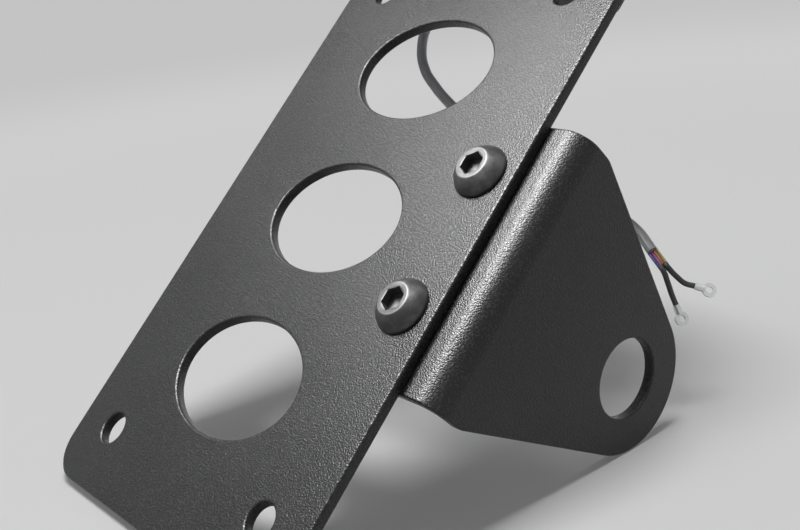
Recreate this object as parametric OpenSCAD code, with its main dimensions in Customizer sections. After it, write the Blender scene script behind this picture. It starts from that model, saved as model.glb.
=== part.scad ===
// Side mount number plate holder for a motorbike.
// A flat backing plate carries the number plate and an LED lamp bar above it.
// A bent side bracket is bolted behind the plate and slips over the wheel axle.
// The origin is the centre of the axle hole, midway through the bracket's tab.
// +Z runs up the plate, the plate faces -Y, and +X is the outer side of the tab.

/* [Backing plate] */
// Width of the backing plate
plate_w = 101.6; // [96:0.2:130]
// Height of the part of the plate that the number plate covers
field_h = 180; // [170:1:230]
// Height of the strip above it that carries the lamp
lamp_strip_h = 26; // [26:0.5:40]
// Thickness of the backing plate
plate_t = 3; // [2:0.1:5]
// Corner radius of the backing plate
plate_corner_r = 10; // [2:0.5:12]
// Width of each big oval opening
opening_w = 47.6; // [30:0.2:50]
// Height of each big oval opening
opening_h = 31.7; // [20:0.1:38]
// Distance from one oval opening to the next
opening_pitch = 47; // [40:0.5:52]
// Number plate holes, centre to centre across the plate
number_pitch_x = 69.85; // [60:0.05:80]
// Number plate holes, centre to centre up the plate
number_pitch_z = 146; // [138:0.5:152]
// Diameter of the number plate holes
number_hole_d = 8.5; // [5:0.1:10]

/* [Side bracket] */
// Height of the bracket along the plate
bracket_h = 71; // [66:0.5:90]
// Thickness of the bracket
bracket_t = 3; // [2:0.1:5]
// Inside radius of the bracket's bend
bend_r = 3.4; // [1.5:0.1:5]
// How far the flat leg runs in from the edge of the plate
leg_lap = 20.8; // [18:0.2:26]
// How far the tab's outer face stands out beside the plate
tab_reach = 10.2; // [9.5:0.1:20]
// Distance from the plate's front face back to the axle centre
axle_back = 57.8; // [50:0.2:90]
// Diameter of the axle hole
axle_hole_d = 20.5; // [12:0.1:26]
// Radius of the tab's round end
tab_end_r = 19.8; // [16:0.1:26]
// Distance from the plate's front face back to where the tab starts to taper
tab_taper_start = 14.3; // [12:0.1:24]
// Radius of the tab's two shoulders, where the taper starts
shoulder_r = 6; // [1:0.5:10]

/* [Bracket screws] */
// Thread diameter of the bracket screws
screw_d = 8; // [6:0.5:8]
// Length of the bracket screws under the head
screw_len = 20; // [18:1:30]
// Distance between the two bracket screws
screw_pitch = 36.6; // [28:0.2:44]
// How far the middle of the two screws lies above the middle of the bracket
screw_rise = 1; // [0:0.1:2]
// Distance from the plate's right edge in to the bracket screws
screw_inset = 10.2; // [9:0.1:10.8]
// Diameter of the screw head
head_d = 14; // [12:0.1:16]
// Height of the screw head
head_h = 4.2; // [3.6:0.1:5.5]
// Diameter of the flat ring on top of the head
head_flat_d = 8.4; // [7.2:0.1:9]
// Height of the straight rim under the dome of the head
head_rim_h = 0.7; // [0.2:0.1:1]
// Width across flats of the hex socket
socket_af = 5.4; // [4:0.1:5.6]
// Depth of the hex socket
socket_depth = 2.8; // [2:0.1:3.2]
// Gap round the screws in the plate, the bracket and the washers
screw_clearance = 0.2; // [0.1:0.05:0.6]
// Outer diameter of the washers
washer_d = 16; // [15.6:0.1:18]
// Thickness of the washers
washer_t = 1.6; // [1:0.1:2]
// Width across flats of the lock nuts
nut_af = 13; // [12:0.1:14]
// Height of the hexagonal part of the lock nuts
nut_hex_h = 6; // [5:0.1:8]
// Height of the round collar that holds the nylon ring
nut_collar_h = 2; // [1.6:0.1:3]
// Outer diameter of that collar
nut_collar_d = 11.6; // [11.2:0.1:11.8]
// Outer diameter of the nylon ring
nylon_d = 10; // [9:0.1:10.4]
// Thickness of the nylon ring
nylon_t = 1.6; // [1:0.1:2]

/* [Lamp bar] */
// Width of the lamp bar
lamp_w = 96; // [90:0.5:96]
// Height of the lamp bar
lamp_h = 22; // [22:0.5:24]
// Depth of the lamp housing without its lens
lamp_depth = 20; // [20:0.5:26]
// Corner radius of the lamp bar
lamp_corner_r = 3; // [2:0.5:5]
// Wall thickness of the housing and of the rear cover
lamp_wall = 2; // [1.6:0.1:2.4]
// Thickness of the foam gasket under the lamp
gasket_t = 1; // [0.5:0.1:2]
// How far the gasket stays inside the edge of the housing
gasket_inset = 1; // [0.5:0.1:1.5]
// Thickness of the face of the red lens
lens_t = 2.5; // [2:0.1:4]
// Depth of the lens rim that plugs into the housing
lens_rim_depth = 2; // [1:0.1:2.5]
// Thickness of that rim
lens_rim_t = 1.5; // [1:0.1:2]
// Gap between the lens rim and the housing
lens_fit = 0.1; // [0:0.05:0.3]
// Width of the clear window that lights the number plate
window_w = 60; // [40:1:80]
// Depth of the window, front to back
window_d = 9; // [6:0.2:9]
// Distance from the back of the housing to the window
window_start = 7; // [6:0.1:7.5]
// Width of the lip that holds the window from inside
window_lip = 1.2; // [0.8:0.1:1.5]
// Thickness of that lip
window_lip_t = 0.8; // [0.6:0.1:1]

/* [Lamp board] */
// Width of the circuit board
board_w = 84; // [80:0.5:88]
// Height of the circuit board
board_h = 15; // [14:0.2:15.4]
// Thickness of the circuit board
board_t = 1.6; // [1:0.1:1.8]
// Number of tail light LEDs
tail_led_count = 6; // [4:2:8]
// Distance between tail light LEDs
tail_led_pitch = 11; // [8:0.5:11]
// Diameter of a tail light LED
tail_led_d = 5; // [3:0.5:5]
// Height of a tail light LED without its dome
tail_led_h = 2.6; // [2:0.1:3]
// How far the tail light LEDs sit above the middle of the board
tail_led_rise = 2; // [1.5:0.1:2.5]
// Distance between the LEDs that light the number plate
plate_led_pitch = 22; // [16:0.5:24]
// Width of an LED that lights the number plate
plate_led_w = 3.5; // [3:0.1:4.5]
// Height of that LED without its dome
plate_led_h = 2.6; // [2:0.1:2.8]
// Diameter of a resistor
resistor_d = 2.2; // [1.6:0.1:2.6]
// Length of a resistor
resistor_len = 6; // [4:0.2:7]
// Distance from the middle of the board to the inner resistors
resistor_x1 = 9; // [8:0.5:10]
// Distance from the middle of the board to the outer resistors
resistor_x2 = 32; // [30:0.5:36]

/* [Lamp fixing] */
// Thread diameter of the lamp screws
lamp_screw_d = 4; // [3:0.5:4]
// Length of the lamp screws under the head
lamp_screw_len = 25; // [23:0.5:25.5]
// Head diameter of the lamp screws
lamp_screw_head_d = 8; // [7:0.1:8.4]
// Head height of the lamp screws
lamp_screw_head_h = 2.4; // [1.8:0.1:3]
// Distance between the lamp screws
lamp_screw_pitch = 40; // [36:1:46]
// Gap round the lamp screws and their heads
lamp_screw_clearance = 0.2; // [0.1:0.05:0.3]
// Outer diameter of the brass inserts
insert_d = 5.6; // [5.2:0.1:6.4]
// Length of the brass inserts
insert_len = 8; // [6:0.1:9]
// Height of the bosses inside the housing
boss_h = 8; // [8:0.1:8.4]
// Wall round the insert in its boss
boss_wall = 1.7; // [1.2:0.1:2]
// Width of the rear cover
cover_w = 64; // [62:0.5:70]
// Height of the rear cover
cover_h = 30; // [28:0.5:31]
// Depth of the rear cover
cover_depth = 18; // [18:0.5:22]
// How far the rear cover's middle lies below the lamp's
cover_drop = 6; // [5:0.1:6.5]
// Depth of the sunk seats for the screw heads
head_seat = 4; // [3.2:0.1:5]
// Wall round a sunk seat
pillar_wall = 1.4; // [1:0.1:2]

/* [Cable] */
// Diameter of the cable
cable_d = 3; // [2.4:0.1:3.2]
// Diameter of the hole in the plate and the lamp that the cable passes
cable_pass_d = 8; // [6:0.5:9]
// Gap between the grommet's flange and the side wall of the rear cover
grommet_margin = 1; // [1:0.1:4]
// Diameter of the grommet's flanges
grommet_d = 7; // [6:0.1:7.4]
// Diameter of the grommet's neck in the wall of the cover
grommet_neck_d = 5.4; // [4.8:0.1:5.6]
// Thickness of the grommet's flanges
grommet_flange_t = 1.5; // [1:0.1:2]
// Length of the grommet's tapered nose
grommet_nose = 4.5; // [3:0.1:5]
// Diameter at the tip of the nose
grommet_tip_d = 4.2; // [3.8:0.1:4.8]
// Diameter of one coloured conductor
conductor_d = 0.75; // [0.6:0.05:0.8]
// Length of coloured conductor that the cable shows at its end
conductor_len = 5; // [3:0.1:8]
// Diameter of the dark sleeve round each lead
lead_d = 1.5; // [1.2:0.1:1.8]
// Length of the barrel of a ring terminal
barrel_len = 2.6; // [2:0.1:4]
// Diameter of that barrel
barrel_d = 1.9; // [1.8:0.1:2.4]
// Outer diameter of the ring of a terminal
ring_d = 3.8; // [3.4:0.1:6]
// Hole in the ring of a terminal
ring_hole_d = 1.8; // [1.2:0.1:2.6]
// Thickness of the ring of a terminal
ring_t = 0.6; // [0.4:0.1:0.8]

/* [Hidden] */
$fn = 64;

// Places that follow from the sizes above
plate_x = bracket_t / 2 - tab_reach - plate_w / 2;
front_y = -axle_back;
plate_back_y = front_y + plate_t;
leg_back_y = plate_back_y + bracket_t;
plate_right_x = plate_x + plate_w / 2;
taper_y = front_y + tab_taper_start;
screw_x = plate_right_x - screw_inset;
bracket_screw_z = [screw_rise - screw_pitch / 2, screw_rise + screw_pitch / 2];
screw_hole_d = screw_d + 2 * screw_clearance;
nylon_floor = nut_hex_h + (nut_collar_h - nylon_t) / 2;
lamp_z = field_h / 2 + lamp_strip_h / 2;
lamp_hole_d = lamp_screw_d + 2 * lamp_screw_clearance;
housing_floor = gasket_t + lamp_wall;
housing_front = gasket_t + lamp_depth;
boss_front = housing_floor + boss_h;
boss_d = insert_d + 2 * boss_wall;
board_front = boss_front + board_t;
window_z = gasket_t + window_start;
seat_d = lamp_screw_head_d + 2 * lamp_screw_clearance;
pillar_d = seat_d + 2 * pillar_wall;
cover_back = plate_t + cover_depth;
seat_floor = cover_back - head_seat;
cover_bottom = -cover_drop - cover_h / 2;
grommet_depth = plate_t + cover_depth / 2;
grommet_x = cover_w / 2 - lamp_wall - grommet_d / 2 - grommet_margin;

// Facets of one oval opening and of one rounded shoulder
oval_steps = 96;
shoulder_steps = 12;
// The smallest corner radius inside a moulding
least_corner_r = 0.5;
// Cuts run this far past the faces that they open
past = 1;
// The tab's taper runs this far into its round end, so that the two join
seam_bite = 0.02;
// Sides of the cable's tube and of the leads' tubes
cable_sides = 12;
lead_sides = 8;

// Where the cable leaves the tip of its grommet
cable_exit = [
    plate_x - grommet_x,
    front_y + grommet_depth,
    lamp_z + cover_bottom - grommet_flange_t - grommet_nose
];
// Route of the cable from its exit to the end of its jacket
cable_route = [
    cable_exit, cable_exit - [0, 0, 2 * cable_d], [-84, -44.5, 64], [-81.5, -41.5, 58.5],
    [-77.5, -37.5, 55], [-73, -33, 52.5], [-68, -29, 50.5], [-62.5, -25.5, 49],
    [-57, -22, 48], [-51.5, -18.5, 47], [-46, -15, 46], [-40.5, -11, 45.5],
    [-35.5, -7, 45], [-30.5, -3, 44.5], [-25.5, 0.5, 43.5], [-20, 3, 41.5],
    [-14, 5, 37.5]
];
// Route of the cable inside the lamp, from the circuit board to the exit
inner_route = [
    [plate_x, front_y - boss_front, lamp_z],
    [plate_x, front_y - gasket_t, lamp_z],
    [plate_x, plate_back_y + 2, lamp_z],
    [plate_x - 1.5, front_y + grommet_depth - 3, lamp_z - 1],
    [plate_x - 5.5, front_y + grommet_depth - 1, lamp_z - 3.5],
    [plate_x - grommet_x / 2, front_y + grommet_depth, lamp_z - cover_h / 4],
    [plate_x - grommet_x * 3 / 4, front_y + grommet_depth, lamp_z - cover_h / 3],
    [plate_x - grommet_x + 2, front_y + grommet_depth, lamp_z - cover_h / 3 - cable_d],
    [plate_x - grommet_x, front_y + grommet_depth, lamp_z - 17],
    cable_exit
];
jacket_end = cable_route[len(cable_route) - 1];
jacket_dir = tangent(cable_route, len(cable_route) - 1);
conductor_end = jacket_end + conductor_len * jacket_dir;
// Routes of the two leads, from their conductors to their terminals
long_lead_route = concat(lead_root(-1), [[-7, 9.5, 34], [-5, 12, 33.5], [-3, 13.5, 34]]);
short_lead_route = concat(lead_root(1), [[-8, 9, 31.5], [-7, 11.5, 29.5], [-5.5, 13.5, 27.5]]);

function unit(v) = v / norm(v);

// Direction of a route at its point i
function tangent(p, i) = unit(p[min(i + 1, len(p) - 1)] - p[max(i - 1, 0)]);

// A direction square to a route, carried along it from one point to the next
function sides_along(p, u, i = 0) =
    i == len(p) ? [] :
    let (t = tangent(p, i), s = unit(u - (u * t) * t))
    concat([s], sides_along(p, s, i + 1));

// Angles that turn +Z to a direction
function turn_to(d) = [0, acos(d[2]), atan2(d[1], d[0])];

// The downward direction square to the end of the jacket, along which its conductors lie
function fan_dir() =
    let (a = turn_to(jacket_dir))
    [cos(a[1]) * cos(a[2]), cos(a[1]) * sin(a[2]), -sin(a[1])];

// First two points of a lead, straight out of its pair of conductors
function lead_root(side) =
    let (start = conductor_end + side * conductor_d * fan_dir())
    [start, start + lead_d * jacket_dir];

// Points of an oval
function oval(w, h) = [
    for (i = [0:oval_steps - 1])
        let (a = 360 * i / oval_steps) [w / 2 * cos(a), h / 2 * sin(a)]
];

// Half of the tab's outline from a shoulder to where the taper meets the round end
function taper_half(side) =
    let (
        corner = [taper_y, bracket_h / 2],
        away = norm(corner),
        meet = atan2(corner[1], corner[0]) - acos(tab_end_r / away),
        touch = (tab_end_r - seam_bite) * [cos(meet), sin(meet)],
        slope = unit(touch - corner),
        fall = -atan2(slope[1], slope[0]),
        back = shoulder_r * tan(fall / 2),
        hub = [taper_y - back, bracket_h / 2 - shoulder_r]
    )
    concat(
        [for (i = [0:shoulder_steps])
            let (a = 90 - fall * i / shoulder_steps)
            [hub[0] + shoulder_r * cos(a), side * (hub[1] + shoulder_r * sin(a))]],
        [[touch[0], side * touch[1]]]
    );

function reversed(p) = [for (i = [len(p) - 1:-1:0]) p[i]];

// A tube of round section along a route
module tube(route, d, sides, aside) {
    across = sides_along(route, aside);
    last = len(route) - 1;
    points = [
        for (i = [0:last]) for (k = [0:sides - 1])
            let (
                a = 360 * k / sides,
                up = cross(tangent(route, i), across[i])
            )
            route[i] + d / 2 * (cos(a) * across[i] + sin(a) * up)
    ];
    walls = [
        for (i = [0:last - 1]) for (k = [0:sides - 1])
            let (n = (k + 1) % sides)
            [i * sides + k, (i + 1) * sides + k, (i + 1) * sides + n, i * sides + n]
    ];
    start_cap = [for (k = [0:sides - 1]) k];
    end_cap = [for (k = [sides - 1:-1:0]) last * sides + k];
    polyhedron(points, concat([start_cap], walls, [end_cap]), convexity = 6);
}

// A flat rectangle with round corners, about its middle
module rounded_rect(w, h, r) {
    square([w - 2 * r, h], center = true);
    square([w, h - 2 * r], center = true);
    for (x = [-1, 1]) for (y = [-1, 1])
        translate([x * (w / 2 - r), y * (h / 2 - r)]) circle(r);
}

// Drawn flat, then stood up facing -Y, with height 0 on the plate's front face
module on_front(x, z) {
    translate([x, front_y, z]) rotate([90, 0, 0]) children();
}

// The same, about the middle of the lamp
module on_lamp() {
    on_front(plate_x, lamp_z) children();
}

module at_bracket_screws() {
    for (z = bracket_screw_z) on_front(screw_x, z) children();
}

module at_lamp_screws() {
    for (side = [-1, 1]) translate([side * lamp_screw_pitch / 2, 0, 0]) children();
}

module plate_outline() {
    translate([0, lamp_strip_h / 2])
        rounded_rect(plate_w, field_h + lamp_strip_h, plate_corner_r);
}

module plate_cuts() {
    for (row = [-1:1]) translate([0, row * opening_pitch]) polygon(oval(opening_w, opening_h));
    for (x = [-1, 1]) for (z = [-1, 1])
        translate([x * number_pitch_x / 2, z * number_pitch_z / 2]) circle(d = number_hole_d);
    for (z = bracket_screw_z) translate([screw_x - plate_x, z]) circle(d = screw_hole_d);
    translate([0, lamp_z]) {
        circle(d = cable_pass_d);
        at_lamp_screws() circle(d = lamp_hole_d);
    }
}

module backing_plate() {
    color("#2a2b2d")
        translate([plate_x, plate_back_y, 0]) rotate([90, 0, 0]) linear_extrude(plate_t)
            difference() {
                plate_outline();
                plate_cuts();
            }
}

// A corner region seen from above, up to the line x = right and from the line y = front
module corner_region(right, front, hub, r, left) {
    translate([left, front]) square([hub[0] - left, 2 * axle_back]);
    translate([left, hub[1]]) square([right - left, 2 * axle_back]);
    translate(hub) circle(r);
}

// The bent section of the bracket, seen from above
module bracket_section() {
    hub = [-bracket_t / 2 - bend_r, leg_back_y + bend_r];
    leg_x = plate_right_x - leg_lap;
    difference() {
        corner_region(bracket_t / 2, plate_back_y, hub, bend_r + bracket_t, leg_x);
        corner_region(-bracket_t / 2, leg_back_y, hub, bend_r, leg_x - past);
    }
}

// The bracket's outline from the side up to its round end, with Y across the page
module bracket_side() {
    polygon(concat(
        [[plate_back_y, bracket_h / 2]],
        taper_half(1),
        reversed(taper_half(-1)),
        [[plate_back_y, -bracket_h / 2]]
    ));
}

module side_bracket() {
    color("#262729")
        difference() {
            union() {
                intersection() {
                    translate([0, 0, -bracket_h / 2]) linear_extrude(bracket_h) bracket_section();
                    translate([-plate_w, 0, 0]) rotate([90, 0, 90])
                        linear_extrude(plate_w + bracket_t) bracket_side();
                }
                translate([-bracket_t / 2, 0, 0]) rotate([0, 90, 0]) cylinder(r = tab_end_r, h = bracket_t);
            }
            translate([-bracket_t, 0, 0]) rotate([0, 90, 0]) cylinder(d = axle_hole_d, h = 2 * bracket_t);
            at_bracket_screws()
                translate([0, 0, -plate_t - bracket_t - past])
                    cylinder(d = screw_hole_d, h = bracket_t + 2 * past);
        }
}

// A domed head with a flat ring and a hex socket, on height 0
module button_head() {
    rim_r = head_d / 2;
    flat_r = head_flat_d / 2;
    dome_z = (flat_r ^ 2 + head_h ^ 2 - rim_r ^ 2 - head_rim_h ^ 2) / (2 * (head_h - head_rim_h));
    dome_r = norm([rim_r, head_rim_h - dome_z]);
    socket_r = socket_af / 2 / cos(30);
    difference() {
        intersection() {
            cylinder(r = rim_r, h = head_h);
            translate([0, 0, dome_z]) sphere(dome_r);
        }
        translate([0, 0, head_h - socket_depth]) {
            rotate([0, 0, 30]) cylinder(r = socket_r, h = socket_depth + past, $fn = 6);
            translate([0, 0, -socket_af / 8]) cylinder(r1 = 0, r2 = socket_af / 2, h = socket_af / 8);
        }
    }
}

// A straight shank with a chamfered end, hanging below height 0 and rooted in its head
module shank(d, length, root) {
    r = d / 2;
    tip = d / 12;
    rotate_extrude()
        polygon([[0, -length], [r - tip, -length], [r, -length + tip], [r, root], [0, root]]);
}

module bracket_screws() {
    color("#1d1d1f")
        at_bracket_screws() {
            button_head();
            shank(screw_d, screw_len, head_rim_h);
        }
}

module bracket_washers() {
    color("#3a3b3d")
        at_bracket_screws()
            translate([0, 0, -plate_t - bracket_t - washer_t])
                difference() {
                    cylinder(d = washer_d, h = washer_t);
                    translate([0, 0, -past]) cylinder(d = screw_hole_d, h = washer_t + 2 * past);
                }
}

// Height 0 is the face of the washer, and the nut stands up from it
module at_nuts() {
    at_bracket_screws()
        translate([0, 0, -plate_t - bracket_t - washer_t]) mirror([0, 0, 1]) children();
}

module bracket_lock_nuts() {
    across_corners = nut_af / cos(30);
    chamfer = (across_corners - nut_af) / 2;
    color("#3a3b3d")
        at_nuts()
            difference() {
                union() {
                    intersection() {
                        cylinder(d = across_corners, h = nut_hex_h, $fn = 6);
                        union() {
                            cylinder(d1 = nut_af, d2 = across_corners, h = chamfer);
                            translate([0, 0, chamfer])
                                cylinder(d = across_corners, h = nut_hex_h - 2 * chamfer);
                            translate([0, 0, nut_hex_h - chamfer])
                                cylinder(d1 = across_corners, d2 = nut_af, h = chamfer);
                        }
                    }
                    cylinder(d = nut_collar_d, h = nut_hex_h + nut_collar_h);
                }
                translate([0, 0, -past]) cylinder(d = screw_d, h = nut_hex_h + nut_collar_h + 2 * past);
                translate([0, 0, nylon_floor]) cylinder(d = nylon_d, h = nylon_t);
            }
}

module lock_nut_rings() {
    color("#c9cdd2")
        at_nuts()
            translate([0, 0, nylon_floor])
                difference() {
                    cylinder(d = nylon_d, h = nylon_t);
                    translate([0, 0, -past]) cylinder(d = screw_d, h = nylon_t + 2 * past);
                }
}

// The housing's inside from above its floor, or something that fits in it
module housing_bay(gap, h) {
    linear_extrude(h)
        rounded_rect(
            lamp_w - 2 * (lamp_wall + gap), lamp_h - 2 * (lamp_wall + gap), lamp_corner_r - lamp_wall / 2
        );
}

// The block that the window fills, from outside the housing's wall to its inner face
module window_block(extra) {
    translate([-window_w / 2, -lamp_h / 2 - extra, window_z])
        cube([window_w, lamp_wall + extra, window_d]);
}

module lamp_housing() {
    color("#1f2022")
        on_lamp()
            difference() {
                union() {
                    difference() {
                        translate([0, 0, gasket_t]) linear_extrude(lamp_depth)
                            rounded_rect(lamp_w, lamp_h, lamp_corner_r);
                        translate([0, 0, housing_floor]) housing_bay(0, lamp_depth);
                    }
                    at_lamp_screws() translate([0, 0, gasket_t]) cylinder(d = boss_d, h = boss_front - gasket_t);
                }
                at_lamp_screws()
                    translate([0, 0, gasket_t - past]) cylinder(d = insert_d, h = insert_len + past);
                translate([0, 0, gasket_t - past]) cylinder(d = cable_pass_d, h = lamp_wall + 2 * past);
                window_block(past);
            }
}

module lamp_lens() {
    color("#b3121d", 0.85)
        on_lamp() {
            translate([0, 0, housing_front]) linear_extrude(lens_t)
                rounded_rect(lamp_w, lamp_h, lamp_corner_r);
            translate([0, 0, housing_front - lens_rim_depth])
                difference() {
                    housing_bay(lens_fit, lens_rim_depth);
                    translate([0, 0, -past]) housing_bay(lens_fit + lens_rim_t, lens_rim_depth + past);
                }
        }
}

module plate_light_window() {
    color("#e6ecef", 0.6)
        on_lamp() {
            window_block(0);
            translate([
                -window_w / 2 - window_lip, -lamp_h / 2 + lamp_wall, window_z - window_lip
            ])
                cube([window_w + 2 * window_lip, window_lip_t, window_d + 2 * window_lip]);
        }
}

module lamp_gasket() {
    color("#2f3032")
        on_lamp()
            linear_extrude(gasket_t)
                difference() {
                    rounded_rect(
                        lamp_w - 2 * gasket_inset, lamp_h - 2 * gasket_inset, lamp_corner_r - gasket_inset
                    );
                    at_lamp_screws() circle(d = insert_d);
                    circle(d = cable_pass_d);
                }
}

module lamp_circuit_board() {
    color("#1c5c3a")
        on_lamp()
            translate([0, 0, boss_front]) linear_extrude(board_t)
                square([board_w, board_h], center = true);
}

module tail_leds() {
    foot_d = tail_led_d + 0.8;
    foot_t = tail_led_h / 3;
    color("#d8262b")
        on_lamp()
            for (i = [0:tail_led_count - 1])
                translate([(i - (tail_led_count - 1) / 2) * tail_led_pitch, tail_led_rise, board_front]) {
                    cylinder(d = foot_d, h = foot_t);
                    cylinder(d = tail_led_d, h = tail_led_h);
                    intersection() {
                        translate([0, 0, tail_led_h]) sphere(d = tail_led_d);
                        cylinder(d = tail_led_d, h = tail_led_h + tail_led_d);
                    }
                }
}

module plate_light_leds() {
    top = tail_led_rise - tail_led_d / 2 - 1;
    color("#f1efe2")
        on_lamp()
            for (i = [-1:1])
                translate([i * plate_led_pitch, top - plate_led_h, board_front]) {
                    translate([-plate_led_w / 2, 0, 0]) cube([plate_led_w, plate_led_h, plate_led_w]);
                    translate([0, 0, plate_led_w / 2]) sphere(d = plate_led_w * 0.8);
                }
}

module lamp_resistors() {
    color("#c8a878")
        on_lamp()
            for (x = [-resistor_x2, -resistor_x1, resistor_x1, resistor_x2])
                translate([x - resistor_len / 2, 0, boss_front - resistor_d / 2])
                    rotate([0, 90, 0]) cylinder(d = resistor_d, h = resistor_len);
}

module lamp_screws() {
    slot_w = lamp_screw_d / 4;
    color("#55585c")
        on_lamp()
            at_lamp_screws()
                translate([0, 0, -seat_floor]) mirror([0, 0, 1]) {
                    difference() {
                        cylinder(d = lamp_screw_head_d, h = lamp_screw_head_h);
                        for (turn = [0, 90])
                            rotate([0, 0, turn])
                                translate([-lamp_screw_d / 2, -slot_w / 2, lamp_screw_head_h / 2])
                                    cube([lamp_screw_d, slot_w, lamp_screw_head_h]);
                    }
                    shank(lamp_screw_d, lamp_screw_len, lamp_screw_head_h / 4);
                }
}

module lamp_inserts() {
    color("#b58a3c")
        on_lamp()
            at_lamp_screws()
                translate([0, 0, gasket_t])
                    difference() {
                        cylinder(d = insert_d, h = insert_len);
                        translate([0, 0, -past]) cylinder(d = lamp_screw_d, h = insert_len + 2 * past);
                    }
}

// The grommet's place: height 0 is the outer face of the cover's bottom wall
module at_grommet() {
    translate([
        plate_x - grommet_x, front_y + grommet_depth, lamp_z + cover_bottom
    ]) children();
}

module cover_outline(inset) {
    translate([0, -cover_drop])
        rounded_rect(
            cover_w - 2 * inset, cover_h - 2 * inset, max(lamp_corner_r - inset, least_corner_r)
        );
}

module lamp_rear_cover() {
    color("#1f2022")
        difference() {
            on_lamp()
                difference() {
                    union() {
                        difference() {
                            translate([0, 0, -cover_back]) linear_extrude(cover_depth) cover_outline(0);
                            translate([0, 0, -cover_back + lamp_wall])
                                linear_extrude(cover_depth) cover_outline(lamp_wall);
                        }
                        at_lamp_screws() translate([0, 0, -cover_back]) cylinder(d = pillar_d, h = cover_depth);
                    }
                    at_lamp_screws() {
                        translate([0, 0, -cover_back - past])
                            cylinder(d = lamp_hole_d, h = cover_depth + 2 * past);
                        translate([0, 0, -cover_back - past]) cylinder(d = seat_d, h = head_seat + past);
                    }
                }
            at_grommet() translate([0, 0, -past]) cylinder(d = grommet_neck_d, h = lamp_wall + 2 * past);
        }
}

module inner_cable() {
    color("#b9bcc0") tube(inner_route, cable_d, cable_sides, [1, 0, 0]);
}

module cable_grommet() {
    color("#151617")
        at_grommet()
            difference() {
                union() {
                    translate([0, 0, -grommet_flange_t]) cylinder(d = grommet_d, h = grommet_flange_t);
                    cylinder(d = grommet_neck_d, h = lamp_wall);
                    translate([0, 0, lamp_wall]) cylinder(d = grommet_d, h = grommet_flange_t);
                    translate([0, 0, -grommet_flange_t - grommet_nose])
                        cylinder(d1 = grommet_tip_d, d2 = grommet_neck_d, h = grommet_nose);
                }
                translate([0, 0, -grommet_flange_t - grommet_nose - past])
                    cylinder(d = cable_d, h = lamp_wall + 2 * grommet_flange_t + grommet_nose + 2 * past);
            }
}

module cable_jacket() {
    color("#b9bcc0") tube(cable_route, cable_d, cable_sides, [0.5, -0.8, 0]);
}

module conductor_sleeves() {
    tints = ["#9a9c2a", "#d5643c", "#b0469e", "#3a3aa8"];
    translate(jacket_end) rotate(turn_to(jacket_dir))
        for (i = [0:3])
            color(tints[i])
                translate([(i - 1.5) * conductor_d, 0, 0]) cylinder(d = conductor_d, h = conductor_len);
}

module long_lead() {
    color("#3b3b3d") tube(long_lead_route, lead_d, lead_sides, [0, 0, 1]);
}

module short_lead() {
    color("#3b3b3d") tube(short_lead_route, lead_d, lead_sides, [0, 1, 0]);
}

// A crimped ring terminal on the end of a lead
module terminal(route) {
    last = len(route) - 1;
    color("#aeb1b5")
        translate(route[last]) rotate(turn_to(tangent(route, last))) {
            cylinder(d = barrel_d, h = barrel_len);
            translate([0, 0, barrel_len + ring_d / 2 - ring_t])
                rotate([90, 0, 0])
                    difference() {
                        translate([0, 0, -ring_t / 2]) cylinder(d = ring_d, h = ring_t);
                        translate([0, 0, -ring_t]) cylinder(d = ring_hole_d, h = 2 * ring_t);
                    }
        }
}

module long_lead_terminal() {
    terminal(long_lead_route);
}

module short_lead_terminal() {
    terminal(short_lead_route);
}

backing_plate();
side_bracket();
bracket_screws();
bracket_washers();
bracket_lock_nuts();
lock_nut_rings();
lamp_housing();
lamp_lens();
plate_light_window();
lamp_gasket();
lamp_circuit_board();
tail_leds();
plate_light_leds();
lamp_resistors();
lamp_screws();
lamp_inserts();
lamp_rear_cover();
inner_cable();
cable_grommet();
cable_jacket();
conductor_sleeves();
long_lead();
short_lead();
long_lead_terminal();
short_lead_terminal();
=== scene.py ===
import math

import bmesh
import bpy
from mathutils import Matrix, Vector


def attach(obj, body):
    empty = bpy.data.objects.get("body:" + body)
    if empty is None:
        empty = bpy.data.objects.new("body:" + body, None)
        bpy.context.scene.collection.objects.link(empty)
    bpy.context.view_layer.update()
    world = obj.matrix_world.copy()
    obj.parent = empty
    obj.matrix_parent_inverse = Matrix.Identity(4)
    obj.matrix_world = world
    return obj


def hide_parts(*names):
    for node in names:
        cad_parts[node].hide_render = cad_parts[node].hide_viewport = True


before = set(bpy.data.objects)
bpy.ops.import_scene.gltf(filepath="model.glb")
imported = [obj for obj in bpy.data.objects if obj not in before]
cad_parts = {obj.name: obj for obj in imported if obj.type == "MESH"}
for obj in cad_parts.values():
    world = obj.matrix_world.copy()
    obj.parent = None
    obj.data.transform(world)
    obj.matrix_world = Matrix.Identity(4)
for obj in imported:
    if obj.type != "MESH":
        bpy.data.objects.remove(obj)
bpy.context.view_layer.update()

MM = 0.001


def mm(*place):
    """A place or size given in millimetres, in metres."""
    return Vector(place) * MM


# Sizes of the holder in millimetres, as in the part's source
SHEET = 3
PLATE_WIDTH = 101.6
PLATE_MIDDLE = -59.5
PLATE_FRONT = -57.8
PLATE_BOTTOM = -90
PLATE_TOP = 116
PLATE_CORNER = 10
OVAL_WIDTH = 47.6
OVAL_HEIGHT = 31.7
OVAL_PITCH = 47
NUMBER_HOLE = 8.5
NUMBER_PITCH_X = 69.85
NUMBER_PITCH_Z = 146
BRACKET_HEIGHT = 71
BRACKET_CORNER = 0.8
TAB_MIDDLE = 0
TAB_END_RADIUS = 19.8
TAB_TAPER_START = -43.5
TAB_SHOULDER = 6
AXLE_HOLE = 20.5
BRACKET_SCREW_X = -18.9
BRACKET_SCREW_RISE = 1
BRACKET_SCREW_PITCH = 36.6
BRACKET_SCREW_HOLE = 8.4
BRACKET_SCREW_LENGTH = 20
HEAD_HEIGHT = 4.2
HEAD_FLAT_RADIUS = 4.2
HEAD_RADIUS = 7
HEAD_RIM = 0.7
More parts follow.
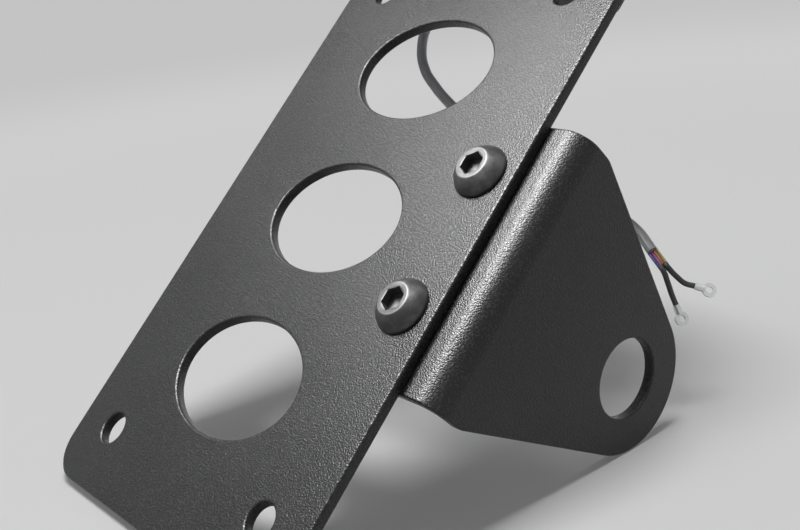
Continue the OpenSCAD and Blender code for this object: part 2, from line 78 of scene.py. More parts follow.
SOCKET_WIDTH = 5.4
LAMP_LEVEL = 103
LAMP_SCREW_PITCH = 40
LAMP_SCREW_HOLE = 4.4
LAMP_SCREW_SEAT = 17
LAMP_SCREW_LENGTH = 25
LAMP_CABLE_HOLE = 8
BRACKET_SCREW_PLACES = [
    (BRACKET_SCREW_X, BRACKET_SCREW_RISE + side * BRACKET_SCREW_PITCH / 2) for side in (-1, 1)
]

# Camera: a plain 50 mm lens close to the plate's lower right edge
CAMERA_PLACE = mm(163.5, -219.8, -65.8)
CAMERA_BACK = Vector((0.7424, -0.6308, -0.2256))
CAMERA_UP = Vector((-0.1788, -0.5111, 0.8408))
CAMERA_LENS = 49.97
CAMERA_SENSOR = 36
CAMERA_NEAREST = 5 * MM


def add_camera():
    back = CAMERA_BACK.normalized()
    right = CAMERA_UP.cross(back).normalized()
    turn = Matrix((right, back.cross(right), back)).transposed()
    data = bpy.data.cameras.new("camera")
    data.lens = CAMERA_LENS
    data.sensor_width = CAMERA_SENSOR
    data.clip_start = CAMERA_NEAREST
    camera = bpy.data.objects.new("camera", data)
    camera.matrix_world = Matrix.Translation(CAMERA_PLACE) @ turn.to_4x4()
    bpy.context.collection.objects.link(camera)
    bpy.context.scene.camera = camera


add_camera()


class Value:
    """A number, colour or vector in a material, so that shader maths reads as an expression."""

    def __init__(self, finish, socket):
        self.finish = finish
        self.socket = socket

    def maths(self, operation, *values):
        """A Math node on these values, or on this one alone where none is given."""
        inputs = dict(enumerate(values or (self,)))
        return self.finish.add("Math", {"operation": operation}, inputs)

    def larger(self, other):
        return self.maths("MAXIMUM", self, other)

    def to_and_fro(self, half_period):
        """Rises from 0 to half_period and falls again, over and over."""
        return self.maths("PINGPONG", self, half_period)

    def __add__(self, other):
        return self.maths("ADD", self, other)

    __radd__ = __add__

    def __sub__(self, other):
        return self.maths("SUBTRACT", self, other)

    def __rsub__(self, other):
        return self.maths("SUBTRACT", other, self)

    def __mul__(self, other):
        return self.maths("MULTIPLY", self, other)

    __rmul__ = __mul__

    def __pow__(self, other):
        return self.maths("POWER", self, other)

    def ramp(self, low, high, at_low=0.0, at_high=1.0):
        """Goes smoothly from at_low to at_high as the value goes from low to high."""
        return self.finish.add(
            "MapRange",
            {"interpolation_type": "SMOOTHSTEP"},
            {"Value": self, "From Min": low, "From Max": high, "To Min": at_low, "To Max": at_high},
        )

    def part(self, axis):
        """The x, y or z of a vector."""
        return self.finish.add("SeparateXYZ", {}, {"Vector": self}, axis)


class Finish:
    """A material in the making, with one way to add any node to it."""

    def __init__(self, name):
        self.material = bpy.data.materials.new(name)
        self.material.use_nodes = True
        self.tree = self.material.node_tree
        self.surface = self.tree.nodes["Principled BSDF"]

    def add(self, kind, settings, inputs, output=0):
        node = self.tree.nodes.new("ShaderNode" + kind)
        for name, setting in settings.items():
            setattr(node, name, setting)
        for name, value in inputs.items():
            self.plug(value, node.inputs[name])
        return Value(self, node.outputs[output])

    def plug(self, value, socket):
        if isinstance(value, Value):
            self.tree.links.new(value.socket, socket)
        elif socket.type == "RGBA":
            socket.default_value = (*value[:3], 1)
        else:
            socket.default_value = value

    def set(self, **sockets):
        """Fills the surface's sockets, such as base_color or roughness."""
        for name, value in sockets.items():
            title = name.replace("_", " ").title().replace("Ior", "IOR")
            self.plug(value, self.surface.inputs[title])

    def place(self):
        """Where a point lies in the object's frame, in metres."""
        return self.add("TexCoord", {}, {}, "Object")

    def noise(self, size, detail=2.0, rough=0.5, stretch=(1, 1, 1)):
        """Noise whose features are about size metres wide."""
        at = self.add("VectorMath", {"operation": "MULTIPLY"}, {0: self.place(), 1: stretch})
        inputs = {"Vector": at, "Scale": 1 / size, "Detail": detail, "Roughness": rough}
        return self.add("TexNoise", {}, inputs, "Fac")

    def pebbles(self, size):
        """Round cells about size metres wide: 0 in the middle of each, more towards its rim."""
        return self.add("TexVoronoi", {}, {"Vector": self.place(), "Scale": 1 / size}, "Distance")

    def mix(self, share, colour_a, colour_b):
        return self.add("Mix", {"data_type": "RGBA"}, {0: share, 6: colour_a, 7: colour_b}, 2)

    def rounded(self, radius):
        """The normal of an edge that is rounded off to this radius."""
        return self.add("Bevel", {"samples": 6}, {"Radius": radius}, "Normal")

    def edge(self, radius):
        """1 along sharp edges, within about this distance, and 0 on flat faces."""
        true_normal = self.add("NewGeometry", {}, {}, "Normal")
        normals = {0: self.rounded(radius), 1: true_normal}
        likeness = self.add("VectorMath", {"operation": "DOT_PRODUCT"}, normals, "Value")
        return likeness.ramp(0.99, 0.8)

    def seen(self):
        """1 for what the camera sees straight, in a reflection or through glass."""
        camera, glossy, glass = (self.ray(kind) for kind in ("Camera", "Glossy", "Transmission"))
        return camera.larger(glossy.larger(glass))

    def ray(self, kind):
        """1 for rays of this kind."""
        return self.add("LightPath", {}, {}, "Is " + kind + " Ray")

    def bump(self, height, depth, normal=None):
        """The normal of a surface with this height, which counts in parts of depth."""
        inputs = {"Height": height, "Distance": depth, "Strength": 1.0}
        if normal:
            inputs["Normal"] = normal
        return self.add("Bump", {}, inputs, "Normal")


def grey(level):
    return (level, level, level)


def powder_coat():
    """Satin black powder coat: a fine sparkling grain over a slight orange peel, with paler dots on the
    grain that are painted glints.
    """
    coat = Finish("black_powder_coat")
    grain = 0.6 * coat.pebbles(0.42 * MM) + 0.4 * coat.noise(0.22 * MM, 1, 0.6)
    peel = coat.noise(1.6 * MM, 2, 0.5)
    drift = coat.noise(28 * MM, 3, 0.5)
    tone = coat.mix(drift.ramp(0.3, 0.7), (0.006, 0.0061, 0.0068), (0.010, 0.0101, 0.0112))
    # speck: paler dots on the grain, painted into the colour as glints of light
    speck = grain.ramp(0.56, 0.66)
    tone = coat.mix(speck * 0.5, tone, grey(0.06))
    coat.set(
        base_color=tone,
        roughness=0.31 + 0.06 * drift + 0.5 * (grain - 0.5),
        specular_ior_level=0.4,
        normal=coat.bump(grain * 0.92 + peel * 0.08, 0.13 * MM),
    )
    return coat.material


def black_oxide():
    """Black oxide on the button heads, with a painted highlight on the flat ring round each socket, on
    the rim of that ring and along the edges.
    """
    oxide = Finish("black_oxide_steel")
    grain = oxide.noise(0.4 * MM, 4, 0.6)
    blotch = oxide.noise(3.5 * MM, 3, 0.6)
    place = oxide.place()
    aside = place.part(0) - BRACKET_SCREW_X * MM
    up = (place.part(2) - BRACKET_SCREW_RISE * MM).maths("ABSOLUTE") - BRACKET_SCREW_PITCH / 2 * MM
    out = (aside * aside + up * up) ** 0.5
    # Paler flat ring round each socket and paler rim of that ring: a painted highlight
    ring = out.ramp(2.9 * MM, 3.3 * MM) * (1 - out.ramp(4.1 * MM, 4.5 * MM))
    lip = out.ramp(3.8 * MM, 4.1 * MM) * (1 - out.ramp(4.2 * MM, 4.6 * MM))
    flat = (PLATE_FRONT - HEAD_HEIGHT) * MM
    high = 1 - place.part(1).ramp(flat + 0.05 * MM, flat + 0.25 * MM)
    painted_ring_highlight = (ring * 0.05 + lip * 0.16) * high * grain.ramp(0.25, 0.55, 0.5, 1)
    # Paler rounded edges: a painted highlight
    edge = oxide.edge(0.25 * MM)
    tone = oxide.mix(blotch.ramp(0.35, 0.7), (0.050, 0.050, 0.052), (0.11, 0.11, 0.112))
    tone = oxide.mix(painted_ring_highlight.larger(edge * 0.5), tone, grey(0.42))
    oxide.set(
        base_color=tone,
        metallic=0.5,
        roughness=0.42 + 0.16 * blotch,
        normal=oxide.bump(0.5 * grain + blotch, 0.06 * MM),
    )
    return oxide.material


def bright_zinc():
    """Zinc plate on the nuts, washers and lamp screws, with faint cloudy stains."""
    zinc = Finish("zinc_steel")
    cloud = zinc.noise(3 * MM, 3, 0.6)
    scratch = zinc.noise(0.5 * MM, 3, 0.6, (1, 1, 6))
    tone = zinc.mix(cloud.ramp(0.3, 0.7), (0.52, 0.53, 0.56), (0.66, 0.66, 0.66))
    zinc.set(
        base_color=tone,
        metallic=1.0,
        roughness=0.26 + 0.18 * cloud,
        normal=zinc.bump(scratch, 0.02 * MM, zinc.rounded(0.2 * MM)),
    )
    return zinc.material


def brass():
    """Turned brass of the inserts."""
    metal = Finish("brass")
    ring = metal.noise(0.6 * MM, 2, 0.5)
    metal.set(
        base_color=metal.mix(ring, (0.62, 0.42, 0.15), (0.78, 0.56, 0.24)),
        metallic=1.0,
        roughness=0.28 + 0.15 * ring,
        normal=metal.bump(ring, 0.02 * MM),
    )
    return metal.material


def textured_plastic(name, dark, light, roughness, grain_size, depth, edge_radius=0.5 * MM):
    """Moulded plastic or rubber with a fine texture."""
    plastic = Finish(name)
    grain = plastic.noise(grain_size, 3, 0.55)
    drift = plastic.noise(grain_size * 30, 2, 0.5)
    plastic.set(
        base_color=plastic.mix(drift.ramp(0.3, 0.7), dark, light),
        roughness=roughness + 0.12 * (grain - 0.5),
        normal=plastic.bump(grain, depth, plastic.rounded(edge_radius)),
    )
    return plastic.material


def red_lens():
    """Clear red lens with upright flutes moulded inside."""
    lens = Finish("red_lens")
    flute_width = 3 * MM
    flute = (lens.place().part(0) * (2 * math.pi / flute_width)).maths("SINE")
    haze = lens.noise(6 * MM, 2, 0.5)
    lens.set(
        base_color=lens.mix(haze, (0.52, 0.008, 0.012), (0.66, 0.02, 0.02)),
        roughness=0.34 + 0.06 * haze,
        transmission_weight=0.3,
        specular_ior_level=0.2,
        ior=1.49,
        normal=lens.bump(flute, 0.04 * MM, lens.rounded(0.7 * MM)),
    )
    return lens.material


def clear_window():
    """Lightly frosted clear plastic."""
    window = Finish("clear_lens")
    frost = window.noise(1.2 * MM, 3, 0.6)
    window.set(
        base_color=window.mix(frost, (0.80, 0.84, 0.86), (0.92, 0.94, 0.95)),
        roughness=0.12 + 0.15 * frost,
        transmission_weight=0.8,
        ior=1.49,
        normal=window.bump(frost, 0.05 * MM),
    )
    return window.material


def circuit_board():
    """Green solder mask with paler copper tracks under it."""
    board = Finish("circuit_board")
    place = board.place()
    upright_track = place.part(0).to_and_fro(2 * MM).ramp(0.3 * MM, 0.5 * MM, 1.0, 0.0)
    level_track = place.part(2).to_and_fro(3 * MM).ramp(0.3 * MM, 0.5 * MM, 1.0, 0.0)
    copper = upright_track.larger(level_track)
    mottle = board.noise(2 * MM, 2, 0.5)
    board.set(
        base_color=board.mix(copper, (0.012, 0.13, 0.05), (0.03, 0.26, 0.11)),
        roughness=0.3 + 0.1 * mottle,
        normal=board.bump(copper + 0.2 * mottle, 0.04 * MM),
    )
    return board.material


def epoxy(name, dark, light):
    """Cast epoxy of an LED, hazy inside."""
    body = Finish(name)
    haze = body.noise(1.5 * MM, 2, 0.5)
    body.set(
        base_color=body.mix(haze, dark, light),
        roughness=0.08 + 0.08 * haze,
        transmission_weight=0.3,
        normal=body.bump(haze, 0.02 * MM),
    )
    return body.material


def resistor_enamel():
    """Tan enamel with plain colour bands along the resistor."""
    enamel = Finish("resistor_body")
    band = enamel.place().part(0).to_and_fro(0.9 * MM).ramp(0.25 * MM, 0.32 * MM, 1.0, 0.0)
    speck = enamel.noise(0.4 * MM, 2, 0.5)
    enamel.set(
        base_color=enamel.mix(band, (0.62, 0.46, 0.28), (0.25, 0.05, 0.03)),
        roughness=0.35 + 0.1 * speck,
        normal=enamel.bump(speck, 0.02 * MM),
    )
    return enamel.material


def cable_skin():
    """Pale grey, slightly clear PVC jacket, faintly dull from handling."""
    skin = Finish("cable_jacket")
    haze = skin.noise(4 * MM, 3, 0.5)
    fine = skin.noise(0.4 * MM, 2, 0.5)
    skin.set(
        base_color=skin.mix(haze, (0.42, 0.425, 0.44), (0.58, 0.585, 0.6)),
        roughness=0.28 + 0.14 * fine,
        transmission_weight=0.25,
        normal=skin.bump(fine, 0.02 * MM),
    )
    return skin.material


def insulation(name, colour):
    """Bright insulation of one conductor."""
    skin = Finish(name)
    fine = skin.noise(0.5 * MM, 2, 0.5)
    pale = tuple(0.75 * c + 0.18 for c in colour)
    skin.set(
        base_color=skin.mix(fine.ramp(0.35, 0.75), colour, pale),
        roughness=0.35 + 0.1 * fine,
        normal=skin.bump(fine, 0.02 * MM),
    )
    return skin.material


def tinned():
    """Tin plate of the ring terminals."""
    tin = Finish("tinned_terminal")
    stain = tin.noise(0.8 * MM, 3, 0.6)
    tin.set(
        base_color=tin.mix(stain, (0.62, 0.62, 0.62), (0.82, 0.82, 0.83)),
        metallic=1.0,
        roughness=0.25 + 0.2 * stain,
        normal=tin.bump(stain, 0.03 * MM),
    )
    return tin.material


def dress(node, material):
    """Gives a CAD node its finish."""
    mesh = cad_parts[node].data
    mesh.materials.clear()
    mesh.materials.append(material)


coat = powder_coat()
oxide = black_oxide()
zinc = bright_zinc()
moulding = textured_plastic(
    "black_plastic", grey(0.016), grey(0.026), 0.5, 0.5 * MM, 0.05 * MM, 0.8 * MM
)
rubber = textured_plastic("grommet_rubber", grey(0.014), grey(0.024), 0.6, 0.8 * MM, 0.03 * MM)
foam = textured_plastic("black_foam", grey(0.02), grey(0.035), 0.85, 0.7 * MM, 0.12 * MM)
nylon = textured_plastic("nylon", (0.6, 0.62, 0.66), (0.72, 0.74, 0.78), 0.4, 0.6 * MM, 0.02 * MM)
sleeve = textured_plastic("lead_sleeve", grey(0.035), grey(0.06), 0.45, 0.5 * MM, 0.04 * MM)
jacket_skin = cable_skin()
tin = tinned()

dress("bracket_washers", zinc)
dress("bracket_lock_nuts", zinc)
dress("lock_nut_rings", nylon)
dress("lamp_housing", moulding)
dress("lamp_lens", red_lens())
dress("plate_light_window", clear_window())
dress("lamp_gasket", foam)
dress("lamp_circuit_board", circuit_board())
dress("tail_leds", epoxy("red_led", (0.5, 0.02, 0.02), (0.75, 0.06, 0.05)))
dress("plate_light_leds", epoxy("white_led", (0.75, 0.74, 0.66), (0.9, 0.89, 0.82)))
dress("lamp_resistors", resistor_enamel())
dress("lamp_inserts", brass())
dress("lamp_rear_cover", moulding)
dress("inner_cable", jacket_skin)
dress("cable_grommet", rubber)
dress("long_lead_terminal", tin)
dress("short_lead_terminal", tin)


# The cable, on the route that its tube follows in the part's source
CABLE_DIAMETER = 3 * MM
CABLE_ROUTE = [
    mm(*place) for place in (
        (-85, -45.8, 76), (-85, -45.8, 70), (-84, -44.5, 64), (-81.5, -41.5, 58.5),
        (-77.5, -37.5, 55), (-73, -33, 52.5), (-68, -29, 50.5), (-62.5, -25.5, 49),
        (-57, -22, 48), (-51.5, -18.5, 47), (-46, -15, 46), (-40.5, -11, 45.5),
        (-35.5, -7, 45), (-30.5, -3, 44.5), (-25.5, 0.5, 43.5), (-20, 3, 41.5),
        (-14, 5, 37.5),
    )
]
CONDUCTOR_DIAMETER = 0.75 * MM
CONDUCTOR_LENGTH = 5 * MM
LEAD_DIAMETER = 1.5 * MM


def smooth_line(name, routes, diameter, materials):
    """Smooth round cords, one through the points of each route, each in its own material."""
    data = bpy.data.curves.new(name, "CURVE")
    data.dimensions = "3D"
    data.bevel_depth = diameter / 2
    data.bevel_resolution = 5
    data.resolution_u = 8
    data.use_fill_caps = True
    for material in materials:
        data.materials.append(material)
    for index, route in enumerate(routes):
        spline = data.splines.new("BEZIER")
        spline.bezier_points.add(len(route) - 1)
        for point, place in zip(spline.bezier_points, route):
            point.co = place
            point.handle_left_type = point.handle_right_type = "AUTO"
        spline.material_index = index
    return ride(bpy.data.objects.new(name, data))


def ride(piece):
    bpy.context.collection.objects.link(piece)
    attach(piece, "root")
    return piece


def add_cable():
    """The jacket, its four coloured conductors and the two leads that leave them."""
    cable = smooth_line("cable", [CABLE_ROUTE], CABLE_DIAMETER, [jacket_skin])
    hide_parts("cable_jacket")

    end = CABLE_ROUTE[-1]
    along = (end - CABLE_ROUTE[-2]).normalized()
    down = (Vector((0, 0, -1)) + along.z * along).normalized()
    aside = along.cross(down)
    colours = {
        "olive": (0.40, 0.36, 0.03), "orange": (0.72, 0.17, 0.05),
        "magenta": (0.52, 0.07, 0.36), "blue": (0.05, 0.05, 0.45),
    }
    routes = []
    for row in range(4):
        flat = (row - 1.5) * CONDUCTOR_DIAMETER * down
        lift = 0.12 * MM * math.cos(math.pi * row)
        routes.append([
            end + flat + along * (share * CONDUCTOR_LENGTH) + aside * lift * math.sin(math.pi * share)
            for share in (0, 0.25, 0.5, 0.75, 1)
        ])
    conductors = smooth_line(
        "conductors", routes, CONDUCTOR_DIAMETER,
        [insulation(name + "_insulation", colour) for name, colour in colours.items()],
    )
    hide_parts("conductor_sleeves")

    tip = end + along * CONDUCTOR_LENGTH
    for name, side, places in (
        ("long_lead", -1, ((-7, 9.5, 34), (-5, 12, 33.5), (-3, 13.5, 34))),
        ("short_lead", 1, ((-8, 9, 31.5), (-7, 11.5, 29.5), (-5.5, 13.5, 27.5))),
    ):
        start = tip + side * CONDUCTOR_DIAMETER * down
        route = [start, start + along * LEAD_DIAMETER] + [mm(*place) for place in places]
        lead = smooth_line(name + "_sleeve", [route], LEAD_DIAMETER, [sleeve])
        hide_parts(name)


add_cable()


# Shapes: rounded sheets and screws, which stand in for the plainer CAD nodes
ROUNDING_STEPS = 5
PLATE_ROUNDING = 0.6
BRACKET_ROUNDING = 0.5


def arc(centre, radius, start, stop, steps):
    """Points of an arc, with its angles in degrees."""
    turns = [math.radians(start + (stop - start) * step / steps) for step in range(steps + 1)]
    return [
        Vector((centre[0] + radius * math.cos(a), centre[1] + radius * math.sin(a)))
        for a in turns
    ]


def ring(centre, width, height, steps):
    """A round or oval hole, wound so that the sheet lies on its left."""
    turns = [-2 * math.pi * step / steps for step in range(steps)]
    return [
        Vector((centre[0] + width / 2 * math.cos(a), centre[1] + height / 2 * math.sin(a)))
        for a in turns
    ]


def rounded_rectangle(left, right, bottom, top, radius, steps=10):
    inner_left, inner_right = left + radius, right - radius
    inner_bottom, inner_top = bottom + radius, top - radius
    outline = arc((inner_right, inner_top), radius, 0, 90, steps)
    outline += arc((inner_left, inner_top), radius, 90, 180, steps)
    outline += arc((inner_left, inner_bottom), radius, 180, 270, steps)
    outline += arc((inner_right, inner_bottom), radius, 270, 360, steps)
    return outline


def moved_in(loop, depth):
    """The loop moved into the sheet by a depth."""
    moved = []
    for before, point, after in zip(loop[-1:] + loop[:-1], loop, loop[1:] + loop[:1]):
        first = (point - before).normalized()
        second = (after - point).normalized()
        left = Vector((-first.y - second.y, first.x + second.x))
        moved.append(point + left * depth / (1 + first.dot(second)))
    return moved


def sheet(loops, thickness, rounding):
    """A flat sheet with rounded edges, given its outline and its holes, from height 0 down."""
    form = bmesh.new()
    steps = [90 * step / ROUNDING_STEPS for step in range(ROUNDING_STEPS + 1)]
    front = [
        (rounding * (1 - math.sin(math.radians(a))), -rounding * (1 - math.cos(math.radians(a))))
        for a in steps
    ]
    back = [(depth, -thickness - height) for depth, height in reversed(front)]
    guard = 1.3 * rounding
    levels = [(guard, 0), *front, *back, (guard, -thickness)]
    rims = ([], [])
    for loop in loops:
        rows = [
            [form.verts.new((*place, height)) for place in moved_in(loop, depth)]
            for depth, height in levels
        ]
        for upper, lower in zip(rows, rows[1:]):
            for i in range(len(loop)):
                form.faces.new((upper[i - 1], lower[i - 1], lower[i], upper[i]))
        for rim, row in zip(rims, (rows[0], rows[-1])):
            rim += [form.edges.get((row[i - 1], row[i])) for i in range(len(loop))]
    for rim in rims:
        bmesh.ops.triangle_fill(form, edges=rim, use_beauty=True)
    for face in form.faces:
        face.smooth = True
    return form


def make_piece(name, form, material, node):
    """Turns a form in millimetres into a piece that replaces a CAD node."""
    bmesh.ops.scale(form, vec=(MM, MM, MM), verts=form.verts)
    bmesh.ops.recalc_face_normals(form, faces=form.faces)
    data = bpy.data.meshes.new(name)
    form.to_mesh(data)
    form.free()
    data.materials.append(material)
    piece = ride(bpy.data.objects.new(name, data))
    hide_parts(node)


def stand_up(form, x, y):
    """Stands up what was drawn flat, facing -Y, with height 0 at y."""
    for point in form.verts:
        across, up, height = point.co
        point.co = (x + across, y - height, up)


def bracket_screw_holes(start):
    """Holes for the bracket screws, in a drawing whose zero lies at this x."""
    return [
        ring((x - start, z), BRACKET_SCREW_HOLE, BRACKET_SCREW_HOLE, 40)
        for x, z in BRACKET_SCREW_PLACES
    ]


def add_plate():
    half = PLATE_WIDTH / 2
    loops = [rounded_rectangle(-half, half, PLATE_BOTTOM, PLATE_TOP, PLATE_CORNER)]
    loops += [ring((0, row * OVAL_PITCH), OVAL_WIDTH, OVAL_HEIGHT, 96) for row in (-1, 0, 1)]
    loops += [
        ring((x * NUMBER_PITCH_X / 2, z * NUMBER_PITCH_Z / 2), NUMBER_HOLE, NUMBER_HOLE, 40)
        for x in (-1, 1) for z in (-1, 1)
    ]
    loops += bracket_screw_holes(PLATE_MIDDLE)
    loops.append(ring((0, LAMP_LEVEL), LAMP_CABLE_HOLE, LAMP_CABLE_HOLE, 40))
    loops += [
        ring((side * LAMP_SCREW_PITCH / 2, LAMP_LEVEL), LAMP_SCREW_HOLE, LAMP_SCREW_HOLE, 32)
        for side in (-1, 1)
    ]
    form = sheet(loops, SHEET, PLATE_ROUNDING)
    stand_up(form, PLATE_MIDDLE, PLATE_FRONT)
    make_piece("plate_sheet", form, coat, "backing_plate")


# The bracket, drawn flat and then bent: leg, bend and tab along its length
LEG_START = -29.5
BEND_INSIDE = 3.4
BEND_X = TAB_MIDDLE - SHEET / 2 - BEND_INSIDE
BEND_Y = PLATE_FRONT + 2 * SHEET + BEND_INSIDE
BEND_START = BEND_X - LEG_START
BEND_LENGTH = math.pi / 2 * (BEND_INSIDE + SHEET / 2)
TAB_START = BEND_START + BEND_LENGTH
AXLE = TAB_START - BEND_Y
BEND_CUTS = 20


def bracket_outline():
    """The bracket's flat outline: a square leg, and a tab that tapers to a round end."""
    half = BRACKET_HEIGHT / 2
    corner = Vector((TAB_TAPER_START, half))
    meet = math.atan2(corner.y, corner.x) - math.acos(TAB_END_RADIUS / corner.length)
    touch = TAB_END_RADIUS * Vector((math.cos(meet), math.sin(meet)))
    fall = -math.atan2(touch.y - corner.y, touch.x - corner.x)
    shoulder_x = AXLE + corner.x - TAB_SHOULDER * math.tan(fall / 2)
    shoulder_z = half - TAB_SHOULDER
    tilt = math.degrees(fall)
    meet = math.degrees(meet)
    corner_z = half - BRACKET_CORNER
    return [
        Vector((BRACKET_CORNER, -half)),
        *arc((shoulder_x, -shoulder_z), TAB_SHOULDER, -90, -90 + tilt, 8),
        *arc((AXLE, 0), TAB_END_RADIUS, -meet, meet, 60),
        *arc((shoulder_x, shoulder_z), TAB_SHOULDER, 90 - tilt, 90, 8),
        Vector((BRACKET_CORNER, half)),
        *arc((BRACKET_CORNER, corner_z), BRACKET_CORNER, 90, 180, 4)[1:],
        *arc((BRACKET_CORNER, -corner_z), BRACKET_CORNER, 180, 270, 4)[:-1],
    ]


def bend(form):
    """Bends the flat bracket, whose height 0 is the outside of the bend."""
    for point in form.verts:
        along, up, height = point.co
        inward = -height
        if along < BEND_START:
            point.co = (LEG_START + along, PLATE_FRONT + SHEET + inward, up)
        elif along > TAB_START:
            point.co = (TAB_MIDDLE + SHEET / 2 - inward, along - AXLE, up)
        else:
            turn = math.pi / 2 * (along - BEND_START) / BEND_LENGTH
            radius = BEND_INSIDE + SHEET - inward
            point.co = (BEND_X + radius * math.sin(turn), BEND_Y - radius * math.cos(turn), up)


def add_bracket():
    loops = [bracket_outline(), ring((AXLE, 0), AXLE_HOLE, AXLE_HOLE, 72)]
    loops += bracket_screw_holes(LEG_START)
    form = sheet(loops, SHEET, BRACKET_ROUNDING)
    for cut in range(BEND_CUTS + 1):
        place = (BEND_START + BEND_LENGTH * cut / BEND_CUTS, 0, 0)
        everything = form.verts[:] + form.edges[:] + form.faces[:]
        bmesh.ops.bisect_plane(form, geom=everything, plane_co=place, plane_no=(1, 0, 0))
    bend(form)
    make_piece("bracket_sheet", form, coat, "side_bracket")


# Screws, turned about their axes
COLUMNS = 96


def turned(form, rows, crisp, place, flip=1):
    """A turned form about an axis along Y, with flat shading on its first rows, the recess.

    Each row gives a height and a radius, which may change with the angle. With flip -1 the
    form points the other way."""
    rings = []
    x, y, z = place
    for height, radius in rows:
        row = []
        for column in range(COLUMNS):
            a = 2 * math.pi * column / COLUMNS
            r = radius(a) if callable(radius) else radius
            row.append(form.verts.new((x + r * math.cos(a), y - flip * height, z + r * math.sin(a))))
        rings.append(row)
    for level, (upper, lower) in enumerate(zip(rings, rings[1:])):
        for i in range(COLUMNS):
            face = form.faces.new((upper[i - 1], lower[i - 1], lower[i], upper[i]))
            face.smooth = level >= crisp
    form.faces.new(rings[0])
    form.faces.new(rings[-1])


def hexagon(across_flats):
    """The radius of a hexagon by angle, with flats to the sides."""
    def radius(a):
        return across_flats / 2 / math.cos((a + math.pi / 6) % (math.pi / 3) - math.pi / 6)
    return radius


def cross(half_length, half_width):
    """The radius of a cross recess by angle."""
    def radius(a):
        a = (a + math.pi / 4) % (math.pi / 2) - math.pi / 4
        return min(half_length / math.cos(a), half_width / max(abs(math.sin(a)), 0.01))
    return radius


def thread(outer, pitch, length, plain):
    """Rows of a threaded shank below height 0, with a chamfered tip."""
    depth = 0.6 * pitch
    rows = []
    count = int(length / pitch * 10)
    for step in range(count + 1):
        down = length * step / count
        fade = min(1, max(0, (down - plain) / pitch), (length - down) / pitch + 0.4)
        limit = outer - max(0, down - length + depth)

        def radius(a, down=down, fade=fade, limit=limit):
            phase = (down / pitch - a / (2 * math.pi)) % 1
            return min(limit, outer - fade * depth * min(1, 2.4 * abs(phase - 0.5)) + 0.05 * fade)
        rows.append((-down, radius))
    return rows


def bracket_screw_rows():
    """Rows of a button head with its hexagon socket, and of the thread below it."""
    socket = hexagon(SOCKET_WIDTH)
    rows = [(0.8, 0.05), (1.35, 2.5), (1.42, socket), (3.9, socket)]
    rows.append((4.12, lambda a: socket(a) + 0.07))
    rows.append((HEAD_HEIGHT, lambda a: 0.3 * socket(a) + 2.34))
    rows += [(HEAD_HEIGHT, 3.9), (HEAD_HEIGHT - 0.01, HEAD_FLAT_RADIUS - 0.06)]
    dome_middle, dome_radius, dome_steps = -2.03, 7.513, 13
    low = math.asin((HEAD_RIM - dome_middle) / dome_radius)
    high = math.asin((HEAD_HEIGHT - dome_middle) / dome_radius)
    for step in range(dome_steps + 1):
        a = high - 0.012 + (low - high) * step / dome_steps
        rows.append((dome_middle + dome_radius * math.sin(a), dome_radius * math.cos(a)))
    rows += [(0.55, HEAD_RADIUS), (0.12, HEAD_RADIUS), (0, HEAD_RADIUS - 0.12), (0, 4.3)]
    return rows + thread(4, 1.25, BRACKET_SCREW_LENGTH, 1.5)


def lamp_screw_rows():
    """Rows of a pan head with its cross recess, and of the thread below it."""
    rows = [(0.9, 0.05), (1.2, cross(1.6, 0.42)), (2.3, cross(2, 0.55)), (2.4, cross(2.1, 0.62))]
    rows += [(2.4, 2.6), (2.38, 3.2), (2.25, 3.7), (1.95, 3.95), (1.5, 4), (0.1, 4), (0, 3.9), (0, 2.2)]
    return rows + thread(2, 0.7, LAMP_SCREW_LENGTH, 1)


def add_screws():
    form = bmesh.new()
    for x, z in BRACKET_SCREW_PLACES:
        turned(form, bracket_screw_rows(), 6, (x, PLATE_FRONT, z))
    make_piece("bracket_screw_set", form, oxide, "bracket_screws")
    form = bmesh.new()
    for side in (-1, 1):
        place = (PLATE_MIDDLE + side * LAMP_SCREW_PITCH / 2, PLATE_FRONT + LAMP_SCREW_SEAT, LAMP_LEVEL)
        turned(form, lamp_screw_rows(), 4, place, -1)
    make_piece("lamp_screw_set", form, zinc, "lamp_screws")


add_plate()
add_bracket()
add_screws()


# Floor and light: the holder leans on its plate's lower edge and on the round end of its tab
FLOOR_UP = Vector((0, -0.742, 0.670))
FLOOR_DROP = 19.9 * MM
FLOOR_HALF = 1.6
FLOOR_DEPTH = 3.2
SUBJECT = mm(-50, -40, 0)
SKY_COLOUR = (0.80, 0.81, 0.82)
SKY_LIGHT = 0.14
SKY_SEEN = 0.68


def floor_finish():
    """Matte pale sweep, which glows far off, is seen only from above and lets lamps shine through."""
    sweep = Finish("floor")
    far = sweep.add("VectorMath", {"operation": "LENGTH"}, {0: sweep.place()}, "Value")
    # Paler near the holder and darker far off: a painted pool of light that falls off with distance
    tone = sweep.mix(far.ramp(0.15, 1.0), grey(0.72), grey(0.55))
    mottle = sweep.noise(0.2, 2, 0.5)
    sweep.set(base_color=tone, roughness=0.85 + 0.05 * mottle, specular_ior_level=0.2)
    glow = sweep.add("Emission", {}, {"Color": tone})
    share = sweep.seen() * far.ramp(0.05, 0.7, 0.12, 1.0)
    lit = sweep.add("MixShader", {}, {0: share, 1: Value(sweep, sweep.surface.outputs[0]), 2: glow})
    behind = sweep.add("NewGeometry", {}, {}, "Backfacing")
    clear = sweep.add("BsdfTransparent", {}, {})
    shown = sweep.add("MixShader", {}, {0: behind.larger(sweep.ray("Shadow")), 1: lit, 2: clear})
    sweep.plug(shown, sweep.tree.nodes["Material Output"].inputs["Surface"])
    return sweep.material


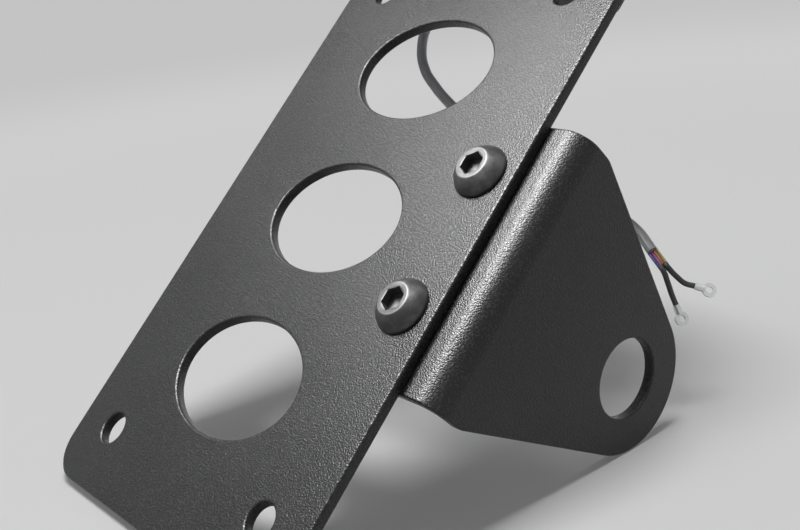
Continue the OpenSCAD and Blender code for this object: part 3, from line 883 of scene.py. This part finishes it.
def add_floor():
    """One plane under the holder, which runs further away from the camera than towards it."""
    away = -CAMERA_BACK
    depth = (away - away.dot(FLOOR_UP) * FLOOR_UP).normalized()
    across = depth.cross(FLOOR_UP).normalized()
    data = bpy.data.meshes.new("floor")
    form = bmesh.new()
    corners = [
        form.verts.new(across * x + depth * y)
        for x, y in (
            (-FLOOR_HALF, -FLOOR_HALF), (FLOOR_HALF, -FLOOR_HALF),
            (FLOOR_HALF, FLOOR_DEPTH), (-FLOOR_HALF, FLOOR_DEPTH),
        )
    ]
    face = form.faces.new(corners)
    face.normal_update()
    if face.normal.dot(FLOOR_UP) < 0:
        face.normal_flip()
    form.to_mesh(data)
    form.free()
    floor = bpy.data.objects.new("floor", data)
    floor.location = -FLOOR_UP.normalized() * FLOOR_DROP
    data.materials.append(floor_finish())
    bpy.context.collection.objects.link(floor)


def add_softbox(name, towards, distance, size, power):
    """A square softbox that faces the holder, from this direction and distance."""
    data = bpy.data.lights.new(name, "AREA")
    data.shape = "SQUARE"
    data.size = size
    data.energy = power
    lamp = bpy.data.objects.new(name, data)
    lamp.location = SUBJECT + towards * distance
    lamp.rotation_mode = "QUATERNION"
    lamp.rotation_quaternion = (-towards).to_track_quat("-Z", "Y")
    lamp.visible_camera = False
    bpy.context.collection.objects.link(lamp)
    return lamp


class Sky(Finish):
    """The world's light, built like a finish."""

    def __init__(self, world):
        self.tree = world.node_tree


def light_world():
    """Soft light from all round, which is pale where it is seen."""
    world = bpy.data.worlds.new("studio")
    bpy.context.scene.world = world
    world.use_nodes = True
    sky = Sky(world)
    lit = sky.add("Background", {}, {"Color": SKY_COLOUR, "Strength": SKY_LIGHT})
    shown = sky.add("Background", {}, {"Color": SKY_COLOUR, "Strength": SKY_SEEN})
    mixed = sky.add("MixShader", {}, {0: sky.seen(), 1: lit, 2: shown})
    sky.plug(mixed, sky.tree.nodes["World Output"].inputs["Surface"])


add_floor()
light_world()
add_softbox("overhead_softbox", FLOOR_UP, 1.0, 0.4, 8)
sheen = add_softbox("softbox_for_sheen", Vector((-0.27, -0.88, 0.36)).normalized(), 0.55, 0.24, 10.5)
sheen.visible_diffuse = False
add_softbox("softbox_behind", Vector((-0.35, 0.85, 0.40)), 1.0, 0.6, 10)

bpy.context.scene.view_settings.view_transform = "Standard"
